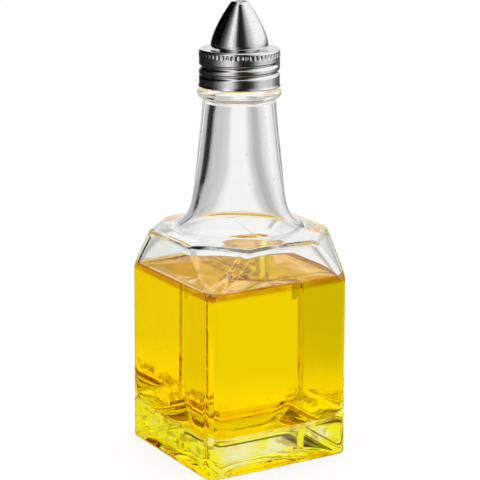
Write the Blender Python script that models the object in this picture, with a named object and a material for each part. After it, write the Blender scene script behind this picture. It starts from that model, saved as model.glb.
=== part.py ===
"""An oil and vinegar cruet: a square moulded glass bottle, part filled with oil, whose threaded metal
cap carries a spun pouring cone. Metres, +Z up, the middle of the base at the origin."""

import math

import bmesh
import bpy
from mathutils import Vector

# Running gap between pieces that touch
CLEARANCE = 0.0003
# How far a cut or a joining root runs past the surface that it crosses
OVERRUN = 0.0004
# Points closer than this are one point
MERGE = 0.000001

# Glass body
BODY_WIDTH = 0.060
SIDE_LEAN = 0.0003
CORNER_RADIUS = 0.0048
CORNER_STEPS = 6
HEEL_RADIUS = 0.0010
HEEL_STEPS = 3
RIDGE_HEIGHT = 0.08386
RIDGE_SOFTENING = 0.0008
RIDGE_FACE_SHARE = 0.4675
FACET_LENGTH = 0.01746
ROOF_SLOPE = math.radians(11.6)
WALL = 0.0028
FLOOR_THICKNESS = 0.008
CAVITY_CORNER_RADIUS = 0.008
CAVITY_FLOOR_RADIUS = 0.0035
PUSH_UP_DEPTH = 0.0012
PUSH_UP_CORNER_RADIUS = 0.004
REST_RIM_WIDTH = 0.0045

# Glass neck
NECK_FOOT_RADIUS = 0.01805
NECK_TOP_RADIUS = 0.0135
NECK_LENGTH = 0.04372
NECK_WALL = 0.0034
FLARE_OUT = 0.0069
FLARE_REACH = 0.00294
COLLAR_HEIGHT = 0.0024
RECESS_DEPTH = 0.00045
RECESS_HEIGHT = 0.0013
BEAD_OUT = 0.00245
BEAD_HEIGHT = 0.0042
BEAD_STEPS = 7
ROUND_STEPS = 52

# Glass mouth and its thread
MOUTH_RADIUS = 0.0129
MOUTH_HEIGHT = 0.0115
BORE_RADIUS = 0.0095
LIP_SOFTENING = 0.0005
THREAD_PITCH = 0.003175
THREAD_DEPTH = 0.0010
THREAD_ROOT_WIDTH = 0.0020
THREAD_CREST_WIDTH = 0.0009
THREAD_LAG = math.radians(90.0)
THREAD_BELOW_LIP = 0.0026
THREAD_RUN_OUT = math.radians(35.0)

# Oil
OIL_BELOW_RIDGE = 0.01636

# Seal between the lip and the cap
SEAL_THICKNESS = 0.0011
SEAL_WIDTH = 0.0031

# Metal cap
CAP_WALL = 0.0005
CAP_RIM_RADIUS = 0.0009
CAP_RIM_STEPS = 3
SKIRT_FLARE = 0.00025
SKIRT_FLARE_HEIGHT = 0.0011
SKIRT_ROWS = 17
GROOVE_DEPTH = 0.00068
GROOVE_WIDTH = 0.0023
GROOVE_START = math.radians(140.0)
GROOVE_ABOVE_SKIRT = 0.0036
GROOVE_BELOW_TOP = 0.0050
GROOVE_RUN_OUT = math.radians(40.0)
KNURL_HEIGHT = 0.0017
KNURL_DEPTH = 0.00022
KNURL_EDGE = 0.0004

# Pouring cone
CONE_RADIUS = 0.0105
CONE_TIP_RADIUS = 0.0030
CONE_HEIGHT = 0.0156
CONE_CURVE_POWER = 1.5
CONE_STEPS = 8
CONE_ROUNDING = 0.0009
CONE_ROUNDING_STEPS = 3
CONE_WALL = 0.0005
CLINCH_RADIUS = 0.0072
CLINCH_LIP = 0.0015

# Reaches and heights that follow from the sizes above
half_width = BODY_WIDTH / 2
corner_reach = (half_width - CORNER_RADIUS) * math.sqrt(2) + CORNER_RADIUS
facet_reach = half_width * (1 + RIDGE_FACE_SHARE) / math.sqrt(2)
facet_lean = (corner_reach - facet_reach) / FACET_LENGTH
neck_foot = RIDGE_HEIGHT + (half_width - NECK_FOOT_RADIUS - FLARE_OUT) * math.tan(ROOF_SLOPE)
neck_top = neck_foot + NECK_LENGTH
collar_top = neck_top + COLLAR_HEIGHT
bead_foot = collar_top + RECESS_HEIGHT
bead_top = bead_foot + BEAD_HEIGHT
lip = bead_top + MOUTH_HEIGHT
thread_radius = MOUTH_RADIUS + THREAD_DEPTH
seal_foot = lip + CLEARANCE
seal_top = seal_foot + SEAL_THICKNESS
plate_underside = seal_top + CLEARANCE
cap_top = plate_underside + CAP_WALL
cap_foot = bead_top + CLEARANCE
cap_radius = thread_radius + CLEARANCE + CAP_WALL
groove_foot = cap_foot + GROOVE_ABOVE_SKIRT
groove_top = cap_top - GROOVE_BELOW_TOP
thread_foot = groove_foot + THREAD_PITCH * (THREAD_LAG / math.tau - 0.5)
thread_top = lip - THREAD_BELOW_LIP
cone_foot = cap_top + CLEARANCE
cone_base = cone_foot + CONE_ROUNDING


def clear_scene():
    for old in list(bpy.data.objects):
        bpy.data.objects.remove(old, do_unlink=True)


def material(name, color, roughness, metallic=0.0, transmission=0.0, ior=1.5):
    made = bpy.data.materials.new(name)
    made.use_nodes = True
    shader = made.node_tree.nodes["Principled BSDF"]
    shader.inputs["Base Color"].default_value = (*color, 1.0)
    shader.inputs["Roughness"].default_value = roughness
    shader.inputs["Metallic"].default_value = metallic
    shader.inputs["Transmission Weight"].default_value = transmission
    shader.inputs["IOR"].default_value = ior
    return made


def add_object(name, bm, finish=None, parent=None):
    """Turns a bmesh into a smooth shaded object under its parent, where it stands."""
    bmesh.ops.remove_doubles(bm, verts=bm.verts, dist=MERGE)
    bmesh.ops.recalc_face_normals(bm, faces=bm.faces)
    mesh = bpy.data.meshes.new(name)
    bm.to_mesh(mesh)
    bm.free()
    mesh.shade_smooth()
    mesh.set_sharp_from_angle(angle=math.radians(35.0))
    made = bpy.data.objects.new(name, mesh)
    bpy.context.scene.collection.objects.link(made)
    if finish:
        mesh.materials.append(finish)
    if parent:
        made.parent = parent
    return made


def combine(target, name, bm, operation):
    """Joins a helper shape to an object, or cuts it away."""
    helper = add_object(name, bm)
    helper.hide_render = True
    helper.display_type = "WIRE"
    step = target.modifiers.new(name, "BOOLEAN")
    step.operation = operation
    step.object = helper
    step.solver = "EXACT"


def spun(outline, steps=ROUND_STEPS):
    """A closed outline of (radius, height) points turned round the axis."""
    bm = bmesh.new()
    points = [bm.verts.new((radius, 0, height)) for radius, height in outline]
    edges = [bm.edges.new(pair) for pair in zip(points, points[1:] + points[:1])]
    bmesh.ops.spin(
        bm, geom=points + edges, cent=(0, 0, 0), axis=(0, 0, 1), angle=math.tau, steps=steps, use_merge=True
    )
    return bm


def arc(middle, radius, height, start, end, steps):
    """Points on an ellipse round a (radius, height) middle, between two angles in degrees."""
    angles = [math.radians(start + (end - start) * step / steps) for step in range(steps + 1)]
    return [(middle[0] + radius * math.cos(angle), middle[1] + height * math.sin(angle)) for angle in angles]


def edges_at(bm, height):
    return [edge for edge in bm.edges if all(abs(vert.co.z - height) < MERGE for vert in edge.verts)]


def cut_off(bm, point, outward):
    """Removes what lies beyond a plane and closes the cut with a face."""
    everything = bm.verts[:] + bm.edges[:] + bm.faces[:]
    cut = bmesh.ops.bisect_plane(
        bm, geom=everything, plane_co=point, plane_no=outward, dist=MERGE, clear_outer=True
    )
    rim = [part for part in cut["geom_cut"] if isinstance(part, bmesh.types.BMEdge)]
    bmesh.ops.contextual_create(bm, geom=rim)


def bevel(bm, edges, offset, segments):
    bmesh.ops.bevel(
        bm, geom=edges, offset=offset, segments=segments, profile=0.5, affect="EDGES", material=-1
    )


def body_form(inset, foot, corner_radius, foot_radius, ridge_softening=0.0):
    """The square body with four corner facets, a ridge and an eight-sided roof, all drawn in by an inset."""
    half = half_width - inset
    ridge = RIDGE_HEIGHT + inset * (math.tan(ROOF_SLOPE) - 1 / math.cos(ROOF_SLOPE))
    bm = bmesh.new()
    bmesh.ops.create_cube(bm, size=1)
    bmesh.ops.scale(bm, vec=(2 * half, 2 * half, ridge - foot), verts=bm.verts)
    bmesh.ops.translate(bm, vec=(0, 0, (ridge + foot) / 2), verts=bm.verts)
    top_corners = [vert for vert in bm.verts if vert.co.z > foot + MERGE]
    lean = 1 - SIDE_LEAN / half
    bmesh.ops.scale(bm, vec=(lean, lean, 1), verts=top_corners)
    uprights = [edge for edge in bm.edges if abs(edge.verts[0].co.z - edge.verts[1].co.z) > MERGE]
    bevel(bm, uprights, corner_radius, CORNER_STEPS)

    reach = facet_reach + (RIDGE_HEIGHT - ridge) * facet_lean - inset * math.hypot(1, facet_lean)
    for corner in range(4):
        angle = math.radians(45 + 90 * corner)
        point = Vector((reach * math.cos(angle), reach * math.sin(angle), ridge))
        cut_off(bm, point, Vector((math.cos(angle), math.sin(angle), facet_lean)))

    top = max(bm.faces, key=lambda face: face.calc_center_median().z)
    raised = bmesh.ops.extrude_face_region(bm, geom=[top])["geom"]
    roof_corners = [part for part in raised if isinstance(part, bmesh.types.BMVert)]
    bmesh.ops.delete(bm, geom=[top], context="FACES_ONLY")
    share = NECK_TOP_RADIUS / half_width
    bmesh.ops.scale(bm, vec=(share, share, 1), verts=roof_corners)
    rise = half * (1 - share) * math.tan(ROOF_SLOPE)
    bmesh.ops.translate(bm, vec=(0, 0, rise), verts=roof_corners)
    if ridge_softening:
        bevel(bm, edges_at(bm, ridge), ridge_softening, 2)
    bevel(bm, edges_at(bm, foot), foot_radius, HEEL_STEPS)
    return bm


def outer_body():
    return body_form(0.0, 0.0, CORNER_RADIUS, HEEL_RADIUS, RIDGE_SOFTENING)


def push_up():
    """The shallow hollow under the base, which leaves a flat rim for the bottle to rest on."""
    width = 2 * (half_width - HEEL_RADIUS - REST_RIM_WIDTH)
    bm = bmesh.new()
    bmesh.ops.create_cube(bm, size=1)
    bmesh.ops.scale(bm, vec=(width, width, 2 * PUSH_UP_DEPTH), verts=bm.verts)
    roof = [vert for vert in bm.verts if vert.co.z > 0]
    drawn_in = 1 - 2 * PUSH_UP_DEPTH / width
    bmesh.ops.scale(bm, vec=(drawn_in, drawn_in, 1), verts=roof)
    uprights = [edge for edge in bm.edges if abs(edge.verts[0].co.z - edge.verts[1].co.z) > MERGE]
    bevel(bm, uprights, PUSH_UP_CORNER_RADIUS, HEEL_STEPS)
    return bm


def cavity_body():
    return body_form(WALL, FLOOR_THICKNESS, CAVITY_CORNER_RADIUS, CAVITY_FLOOR_RADIUS)


def neck_outline(inset):
    """The neck from just below the roof up to the collar, with a flare that dies away upwards.

    An inset moves the outline in by the same distance everywhere, square to its surface."""
    shares = (0.0, 0.02, 0.045, 0.075, 0.11, 0.16, 0.24, 0.4, 0.6, 0.8, 1.0)
    start = neck_foot - OVERRUN
    taper = (NECK_FOOT_RADIUS - NECK_TOP_RADIUS) / NECK_LENGTH
    outline = []
    for share in shares:
        height = start + (neck_top - start) * share
        straight = NECK_FOOT_RADIUS - taper * (height - neck_foot)
        flare = FLARE_OUT * math.exp((neck_foot - height) / FLARE_REACH)
        lean = math.atan(taper + flare / FLARE_REACH)
        outline.append((straight + flare - inset * math.cos(lean), height - inset * math.sin(lean)))
    return outline


def outer_neck():
    """The neck with its collar, the recess and bead below the cap, and the plain mouth."""
    rise = neck_outline(0.0)
    buried = rise[0][1] - FLARE_OUT
    recess = NECK_TOP_RADIUS - RECESS_DEPTH
    bead_middle = (MOUTH_RADIUS, bead_foot + BEAD_HEIGHT / 2)
    outline = [(0, buried), (rise[0][0], buried)]
    outline += rise
    outline += [(NECK_TOP_RADIUS, collar_top), (recess, collar_top + RECESS_DEPTH)]
    outline += arc(bead_middle, BEAD_OUT, BEAD_HEIGHT / 2, -80, 90, BEAD_STEPS)
    outline += [(MOUTH_RADIUS, lip - LIP_SOFTENING), (MOUTH_RADIUS - LIP_SOFTENING, lip), (0, lip)]
    return spun(outline)


def bore():
    """The way through the neck and mouth, run out past the lip."""
    rise = neck_outline(NECK_WALL)
    buried = rise[0][1] - FLARE_OUT
    outline = [(0, buried), (rise[0][0], buried)]
    outline += rise
    outline += [(BORE_RADIUS, bead_foot), (BORE_RADIUS, lip + OVERRUN), (0, lip + OVERRUN)]
    return spun(outline)


def run_out(along, length, fade):
    """0 at both ends of a thread, rising smoothly to 1 within the fade."""
    share = min(max(min(along, length - along) / fade, 0.0), 1.0)
    return share * share * (3 - 2 * share)


def thread_coil():
    """The raised thread on the mouth, which sinks into the wall at both ends."""
    root = MOUTH_RADIUS - OVERRUN
    half_root = THREAD_ROOT_WIDTH / 2
    half_crest = THREAD_CREST_WIDTH / 2
    section = [(root, -half_root), (MOUTH_RADIUS, -half_root), (thread_radius, -half_crest)]
    section += [(thread_radius, half_crest), (MOUTH_RADIUS, half_root), (root, half_root)]
    steps = round(ROUND_STEPS * (thread_top - thread_foot) / THREAD_PITCH)
    length = math.tau * steps / ROUND_STEPS
    sunk_share = OVERRUN / (thread_radius - root) / 2
    bm = bmesh.new()
    rings = []
    for step in range(steps + 1):
        along = length * step / steps
        angle = GROOVE_START + THREAD_LAG + along
        middle = thread_foot + THREAD_PITCH * along / math.tau
        swell = run_out(along, length, THREAD_RUN_OUT)
        ring = []
        for radius, height in section:
            swollen = root + (radius - root) * max(swell, sunk_share)
            place = (swollen * math.cos(angle), swollen * math.sin(angle), middle + height)
            ring.append(bm.verts.new(place))
        rings.append(ring)
    for first, second in zip(rings, rings[1:]):
        for corner in range(len(section)):
            ahead = (corner + 1) % len(section)
            bm.faces.new((first[corner], first[ahead], second[ahead], second[corner]))
    bm.faces.new(rings[0])
    bm.faces.new(rings[-1])
    return bm


def add_bottle(finish, parent):
    bottle = add_object("glass_bottle", outer_body(), finish, parent)
    combine(bottle, "neck_form", outer_neck(), "UNION")
    combine(bottle, "thread_form", thread_coil(), "UNION")
    combine(bottle, "push_up_form", push_up(), "DIFFERENCE")
    combine(bottle, "cavity_form", cavity_body(), "DIFFERENCE")
    combine(bottle, "bore_form", bore(), "DIFFERENCE")


def add_oil(finish, parent):
    """The oil fills the cavity up to its level, a clearance away from the glass."""
    inset = WALL + CLEARANCE
    bm = body_form(
        inset, FLOOR_THICKNESS + CLEARANCE, CAVITY_CORNER_RADIUS - CLEARANCE, CAVITY_FLOOR_RADIUS - CLEARANCE
    )
    cut_off(bm, Vector((0, 0, RIDGE_HEIGHT - OIL_BELOW_RIDGE)), Vector((0, 0, 1)))
    add_object("oil_fill", bm, finish, parent)


def add_seal(finish, parent):
    outer = BORE_RADIUS + SEAL_WIDTH + CLEARANCE
    inner = BORE_RADIUS + CLEARANCE
    bm = spun([(inner, seal_foot), (outer, seal_foot), (outer, seal_top), (inner, seal_top)])
    add_object("seal_ring", bm, finish, parent)


def groove_share(angle, height):
    """How deep the rolled groove is at a place on the skirt, from 0 to 1."""
    length = math.tau * (groove_top - groove_foot) / THREAD_PITCH
    deepest = 0.0
    along = (angle - GROOVE_START) % math.tau
    while along < length:
        off = abs(height - groove_foot - THREAD_PITCH * along / math.tau)
        if off < GROOVE_WIDTH / 2:
            section = math.cos(math.pi * off / GROOVE_WIDTH) ** 2
            deepest = max(deepest, section * run_out(along, length, GROOVE_RUN_OUT))
        along += math.tau
    return deepest


def cap_shell():
    """The cap's closed section: skirt, knurled band, rounded rim and plate with a hole for the cone."""
    knurl_top = cap_top - CAP_RIM_RADIUS
    knurl_foot = knurl_top - KNURL_HEIGHT
    flare_top = cap_foot + SKIRT_FLARE_HEIGHT
    rows = [flare_top + (knurl_foot - flare_top) * row / SKIRT_ROWS for row in range(SKIRT_ROWS + 1)]
    rim_radius = cap_radius - CAP_RIM_RADIUS
    inner_radius = cap_radius - CAP_WALL
    hole = CLINCH_RADIUS + CLEARANCE
    outline = [(cap_radius + SKIRT_FLARE, cap_foot)]
    outline += [(cap_radius, height) for height in rows]
    outline += arc((rim_radius, knurl_top), CAP_RIM_RADIUS, CAP_RIM_RADIUS, 0, 90, CAP_RIM_STEPS)
    outline += [(hole, cap_top), (hole, plate_underside)]
    outline += [(rim_radius, plate_underside), (inner_radius, knurl_top)]
    outline += [(inner_radius, height) for height in reversed(rows)]
    outline += [(inner_radius + SKIRT_FLARE, cap_foot)]
    return spun(outline), knurl_foot, knurl_top


def add_cap(finish, parent):
    bm, knurl_foot, knurl_top = cap_shell()
    bmesh.ops.remove_doubles(bm, verts=bm.verts, dist=MERGE)
    bmesh.ops.recalc_face_normals(bm, faces=bm.faces)
    for vert in bm.verts:
        reach = math.hypot(vert.co.x, vert.co.y)
        if reach > cap_radius - CAP_WALL - MERGE:
            share = groove_share(math.atan2(vert.co.y, vert.co.x), vert.co.z)
            drawn = (reach - GROOVE_DEPTH * share) / reach
            vert.co.x *= drawn
            vert.co.y *= drawn
    band = [
        face
        for face in bm.faces
        if knurl_foot < face.calc_center_median().z < knurl_top
        and math.hypot(*face.calc_center_median().xy) > cap_radius - CAP_WALL / 2
    ]
    bmesh.ops.inset_individual(bm, faces=band, thickness=KNURL_EDGE, depth=-KNURL_DEPTH)
    add_object("screw_cap", bm, finish, parent)


def cone_outline(inset):
    """The cone's curve from its base to its open tip."""
    outline = []
    for step in range(CONE_STEPS + 1):
        share = step / CONE_STEPS
        drop = (CONE_RADIUS - CONE_TIP_RADIUS) * share**CONE_CURVE_POWER
        outline.append((CONE_RADIUS - drop - inset, cone_base + CONE_HEIGHT * share))
    return outline


def add_cone(finish, parent):
    """The cone's foot is clinched through the cap's plate and spread out below it."""
    middle = (CONE_RADIUS - CONE_ROUNDING, cone_base)
    bore_radius = CLINCH_RADIUS - CONE_WALL
    spread_top = plate_underside - CLEARANCE
    spread_foot = spread_top - CONE_WALL
    spread_radius = CLINCH_RADIUS + CLINCH_LIP
    outline = arc(middle, CONE_ROUNDING, CONE_ROUNDING, -90, 0, CONE_ROUNDING_STEPS)[:-1]
    outline += cone_outline(0.0)
    outline += reversed(cone_outline(CONE_WALL))
    outline += [(CONE_RADIUS - CONE_ROUNDING - CONE_WALL, cone_foot + CONE_WALL), (bore_radius, cone_foot + CONE_WALL)]
    outline += [(bore_radius, spread_foot), (spread_radius, spread_foot), (spread_radius, spread_top)]
    outline += [(CLINCH_RADIUS, spread_top), (CLINCH_RADIUS, cone_foot)]
    add_object("pour_spout", spun(outline), finish, parent)


def add_axis(name):
    """An empty on the screw axis, which carries the pieces that rise and turn together."""
    axis = bpy.data.objects.new(name, None)
    axis.empty_display_size = CAP_WALL
    bpy.context.scene.collection.objects.link(axis)
    return axis


def main():
    clear_scene()
    glass = material("clear glass", (0.95, 0.97, 0.96), 0.0, transmission=1.0, ior=1.52)
    oil = material("yellow oil", (0.86, 0.62, 0.02), 0.02, transmission=0.8, ior=1.47)
    steel = material("polished steel", (0.72, 0.72, 0.72), 0.12, metallic=1.0)
    liner = material("white liner", (0.82, 0.82, 0.80), 0.55)
    bottle_axis = add_axis("bottle_axis")
    cap_axis = add_axis("cap_axis")
    add_bottle(glass, bottle_axis)
    add_oil(oil, bottle_axis)
    add_seal(liner, cap_axis)
    add_cap(steel, cap_axis)
    add_cone(steel, cap_axis)


main()
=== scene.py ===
"""The looks of an oil and vinegar cruet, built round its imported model. Metres, +Z up, the base on z = 0."""

import math
from collections import namedtuple

import bmesh
import bpy
import numpy as np
from mathutils import Matrix, Vector


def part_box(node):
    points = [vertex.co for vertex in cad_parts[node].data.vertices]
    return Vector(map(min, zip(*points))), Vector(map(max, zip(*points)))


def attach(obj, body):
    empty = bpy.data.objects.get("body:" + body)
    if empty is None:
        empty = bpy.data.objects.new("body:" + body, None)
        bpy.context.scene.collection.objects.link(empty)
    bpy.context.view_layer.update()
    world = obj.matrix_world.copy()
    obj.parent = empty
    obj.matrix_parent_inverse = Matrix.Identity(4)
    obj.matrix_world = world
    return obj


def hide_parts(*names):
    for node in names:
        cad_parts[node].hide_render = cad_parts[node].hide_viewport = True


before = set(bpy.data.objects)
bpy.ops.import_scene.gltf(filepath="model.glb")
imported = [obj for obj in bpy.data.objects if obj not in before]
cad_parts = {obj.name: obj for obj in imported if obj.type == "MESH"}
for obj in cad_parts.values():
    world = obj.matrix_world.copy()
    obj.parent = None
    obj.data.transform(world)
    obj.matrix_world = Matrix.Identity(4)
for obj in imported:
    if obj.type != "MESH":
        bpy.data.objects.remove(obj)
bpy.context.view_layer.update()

_, glass_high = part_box("glass_bottle")
cap_low, cap_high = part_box("screw_cap")
cone_low, cone_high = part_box("pour_spout")
_, oil_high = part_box("oil_fill")

# Glass body: flat sides, corner facets, ridge and roof
HALF_WIDTH = glass_high.x
SIDE_LEAN = 0.0003
ROOF_SLOPE = math.radians(11.6)
FACET_LEAN = math.atan(0.533)
FACET_MIDDLE = 0.0105
WALL = 0.0015
PUSH_UP = 0.0018
PUSH_UP_POWER = 4.0
PUSH_UP_HALF = 0.0262
PUSH_UP_CORNER = 0.006
PUSH_UP_STEPS = 24
HEEL = 0.0011
HEEL_STEPS = 7
REST_RIM_INSET = 2.2 * HEEL
REST_CORNER_INSET = 0.001

# The cavity's floor: how high its bowl reaches up the walls, and how far its middle lies below its edge
BOWL_HEIGHT = 0.018
FLOOR_DOME = -0.0060
FLOOR_EDGE_STEPS = 10
FLOOR_SHARES = (0.95, 0.88, 0.8, 0.7, 0.6, 0.5, 0.4, 0.3, 0.2, 0.1)

# Glass neck, collar, bead and mouth. The bead's arc is two angles in degrees, and how many steps it takes
NECK_FOOT = 0.0849
NECK_TOP = 0.12861
NECK_FOOT_RADIUS = 0.01805
NECK_TOP_RADIUS = 0.0135
FLARE_OUT = 0.0069
FLARE_REACH = 0.00294
NECK_TAPER = (NECK_FOOT_RADIUS - NECK_TOP_RADIUS) / (NECK_TOP - NECK_FOOT)
NECK_WALL = 0.0042
ROOT_WALL = 0.0022
ROOT_BLEND = 0.027
COLLAR_TOP = 0.13101
COLLAR_SWELL = 0.00008
COLLAR_EDGE = 0.0004
RECESS = 0.00045
RECESS_TOP_GAP = 0.0003
BEAD_FOOT = 0.13231
BEAD_TOP = 0.13651
BEAD_OUT = 0.00245
BEAD_ARC = (-82, 86, 20)
MOUTH_RADIUS = 0.0129
MOUTH_FOOT_GAP = 0.0002
BORE_RADIUS = 0.0095
BORE_TOP_GAP = 0.002
BORE_BEND_STEPS = 7
LIP_ROUND = 0.0005
LIP = glass_high.z

# Rings of the glass, closer where the form bends more: where each band starts, and how many rings it has
OUTER_BANDS = ((0.0030, 14), (0.0600, 24), (0.0820, 12), (0.0834, 36), (0.0850, 22), (0.0880, 14))
CAVITY_BANDS = ((0.0940, 18), (0.0860, 20), (0.0836, 30), (0.0820, 22), (0.0600, 10))
ROUND_FROM = 0.0940
NECK_LEVELS = 18
MOUTH_LEVELS = 40
MOUTH_BORE_LEVELS = 5
NECK_BORE_LEVELS = 16

# Slow waves of the mould: how fast each runs along X, Y and Z in radians per metre, and where it starts
RIPPLES = ((210, 0, 130, 0.4), (0, 190, -170, 2.1), (330, -240, 90, 4.0), (120, 0, 410, 1.3))

# Searches for the body's wall and the bore: first reaches, steps, and the least slope that a step trusts
FIRST_REACHES = (0.050, 0.046)
REACH_STEPS = 9
LEAST_SLOPE = 0.2
BORE_STEPS = 8

# Small distances: what counts as one point, what keeps a ring off the very floor, where the neck joins in
ONE_POINT = 0.000001
HAIR = 0.00001
JOIN_BELOW_RIDGE = 0.001

# Light bending of glass and oil, their tints, and the light and shade painted on them
GLASS_INDEX = 1.52
OIL_INDEX = 1.47
CLEAR_TINT = (0.965, 0.97, 0.965, 1.0)
# Painted light and shade in the glass's thick base: a yellow, a glow from the oil, amber lumps and a brown
# side
PAINTED_BASE_YELLOW = (0.97, 0.94, 0.45, 1.0)
PAINTED_BASE_GLOW = (1.0, 0.92, 0.004, 1.0)
PAINTED_AMBER_LIGHT = (0.90, 0.62, 0.06, 1.0)
PAINTED_BROWN_SHADE = (0.42, 0.26, 0.03, 1.0)
# Painted shade along the oil's edge, dark orange-brown
PAINTED_EDGE_SHADE = (0.50, 0.19, 0.006, 1.0)
THIN_OIL_TINTS = ((1.0, 0.985, 0.90, 1.0), (1.0, 1.0, 0.97, 1.0))
# Painted light on the oil's open top, in olive and pale patches
PAINTED_OPEN_TOP_LIGHT = ((0.70, 0.74, 0.10, 1.0), (0.98, 1.0, 0.90, 1.0))
OIL_ABSORBS = (0.995, 0.972, 0.0, 1.0)
OIL_DENSITY = 220.0

# Where the marks on the glass and its painted light and shade fade in, in metres along Z or X, and how strong
# seeds and smears are
PAINTED_BASE_HEIGHTS = (0.0172, 0.0138)
PAINTED_HEEL_GLOW_HEIGHTS = (0.0060, 0.0030)
PAINTED_RIM_HEIGHTS = (0.0036, 0.0016)
PAINTED_GLOW_LEFT = (-0.019, -0.027)
PAINTED_GLOW_RIGHT = (0.002, 0.014)
PAINTED_SHADE_RIGHT = (0.014, 0.024)
SEED_HEIGHTS = (0.078, 0.092)
SEED_DEPTHS = (0.9, 2.4)
SMEAR_ROUGHNESS = (0.0, 0.03)

# How fine each pattern is along X, Y and Z, per metre
PAINTED_LIGHT_BLOTCH_GRAIN = (70.0, 70.0, 110.0)
PAINTED_LIGHT_FINE_BLOTCH_GRAIN = (130.0, 130.0, 190.0)
SEED_GRAIN = (210.0, 210.0, 170.0)
SEED_PATCH_GRAIN = (55.0, 55.0, 30.0)
WAVE_GRAIN = (48.0, 48.0, 34.0)
SMEAR_GRAIN = (40.0, 40.0, 25.0)
PAINTED_EDGE_SHADE_GRAIN = (90.0, 90.0, 400.0)
SWIRL_GRAIN = (60.0, 60.0, 25.0)
PAINTED_TOP_LIGHT_GRAIN = (120.0, 120.0, 120.0)
OIL_RIPPLE_GRAIN = (110.0, 110.0, 110.0)
STEEL_GRAIN = (2600.0, 2600.0, 2600.0)
ROLLED_GRAIN = (5200.0, 5200.0, 240.0)
SPUN_GRAIN = (420.0, 420.0, 2600.0)
MOTTLE_GRAIN = (420.0, 420.0, 420.0)
LINER_GRAIN = (2200.0, 2200.0, 2200.0)

# How deep each relief is
GLASS_RELIEF = 0.00004
OIL_RELIEF = 0.00002
ROLLED_RELIEF = 0.000002
SPUN_RELIEF = 0.0000003
LINER_RELIEF = 0.00001

# Steel and liner
STEEL_TONES = ((0.80, 0.80, 0.81, 1.0), (0.93, 0.93, 0.94, 1.0))
ROLLED_ROUGHNESS = 0.07
SPUN_ROUGHNESS = 0.04
DULLED_BY_MARKS = 0.06
LINER_TONES = ((0.74, 0.73, 0.69, 1.0), (0.90, 0.90, 0.88, 1.0))

# Screw thread. Its rounded section spreads past its named width at the foot
PITCH = 0.003175
THREAD_START = math.radians(230.0)
THREAD_FOOT = 0.13962
THREAD_TOP = 0.14541
THREAD_DEPTH = 0.0010
THREAD_WIDTH = 0.0020
THREAD_SPREAD = THREAD_WIDTH * 1.3
THREAD_RUN_OUT = math.radians(35.0)

# Oil
OIL_LEVEL = oil_high.z
OIL_OVERLAP = 0.00008
OIL_TOP_SHARES = (0.3, 0.6, 0.8)
OIL_SHARP_ANGLE = math.radians(35.0)
MENISCUS_RISE = 0.0012
MENISCUS_REACH = 0.0016
MENISCUS_STEPS = 14
MENISCUS_STEP = 0.25

# The painted shade along the oil's edge, and what counts as the oil's open top: below its level, and how
# level
PAINTED_EDGE_SHADE_FOOT = 0.0020
PAINTED_EDGE_SHADE_FULL = 0.0007
OPEN_TOP_BELOW = 0.0003
OPEN_TOP_LEVELNESS = 0.15

# Which faces of the glass get the wetted finish: how near the axis, and how far below the floor's edge
WETTED_INSIDE = HALF_WIDTH - 0.6 * WALL
WETTED_BELOW_FLOOR = 0.001

# How many columns go round each piece, and how far those of the body crowd towards its corners
GLASS_COLUMNS = 240
CAP_COLUMNS = 416
CONE_COLUMNS = 160
CROWDING = 0.55

# One skin of the body. Every rounding is a reach in metres, and wave is how far the mould's waves push it
Form = namedtuple(
    "Form",
    "half corner corner_low ridge facet_reach facet_bulge edge roof_edge fillet floor floor_edge wave",
)
outside = Form(
    half=HALF_WIDTH - 0.00004, corner=0.0048, corner_low=0.0048, ridge=0.08386, facet_reach=0.03113,
    facet_bulge=0.00025, edge=0.0007, roof_edge=0.0010, fillet=0.0012, floor=-0.05, floor_edge=0.001,
    wave=0.00004,
)
cavity = Form(
    half=HALF_WIDTH - WALL, corner=0.0036, corner_low=0.0060, ridge=0.0823, facet_reach=0.0302,
    facet_bulge=0.0003, edge=0.0010, roof_edge=0.0015, fillet=0.0030, floor=0.0140, floor_edge=0.0035,
    wave=0.00014,
)


def rounded(parts, softness):
    """Signed distance to the room that several half spaces share, with its edges rounded off."""
    total = sum(np.maximum(part + softness, 0.0) ** 2 for part in parts)
    deepest = np.maximum.reduce(parts)
    return np.sqrt(total) + np.minimum(deepest + softness, 0.0) - softness


def joined(first, second, softness):
    """The larger of two radii, with a fillet where they cross."""
    nearness = np.maximum(softness - np.abs(first - second), 0.0)
    return np.maximum(first, second) + nearness**2 / (4 * softness)


def eased(share):
    """A smooth step, for shares from 0 to 1."""
    return share * share * (3 - 2 * share)


def limited(share):
    """A share that stays between 0 and 1."""
    return min(max(share, 0.0), 1.0)


def body_gap(x, y, height, form):
    """Signed distance to the square body: flat sides, corner facets, roof and floor."""
    x = np.abs(x)
    y = np.abs(y)
    half = form.half - SIDE_LEAN * height / outside.ridge
    low = limited(1 - (height - form.floor) / BOWL_HEIGHT)
    corner = form.corner + (form.corner_low - form.corner) * low * low
    side = rounded([x - half, y - half], corner)
    diagonal = (x + y) / math.sqrt(2)
    across = (x - y) / math.sqrt(2)
    out = diagonal - form.facet_reach
    up = height - form.ridge
    facet = out * math.cos(FACET_LEAN) + up * math.sin(FACET_LEAN)
    along = up * math.cos(FACET_LEAN) - out * math.sin(FACET_LEAN) + FACET_MIDDLE
    facet = facet - form.facet_bulge * (1 - (along**2 + across**2) / FACET_MIDDLE**2)
    top_half = form.half - SIDE_LEAN
    roof_parts = [
        (reach - edge) * math.sin(ROOF_SLOPE) + up * math.cos(ROOF_SLOPE)
        for reach, edge in ((x, top_half), (y, top_half), (diagonal, form.facet_reach))
    ]
    roof = rounded(roof_parts, form.roof_edge)
    shell = rounded([side, facet, roof], form.edge)
    floor = np.full_like(shell, form.floor - height)
    return rounded([shell, floor], form.floor_edge)


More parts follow.
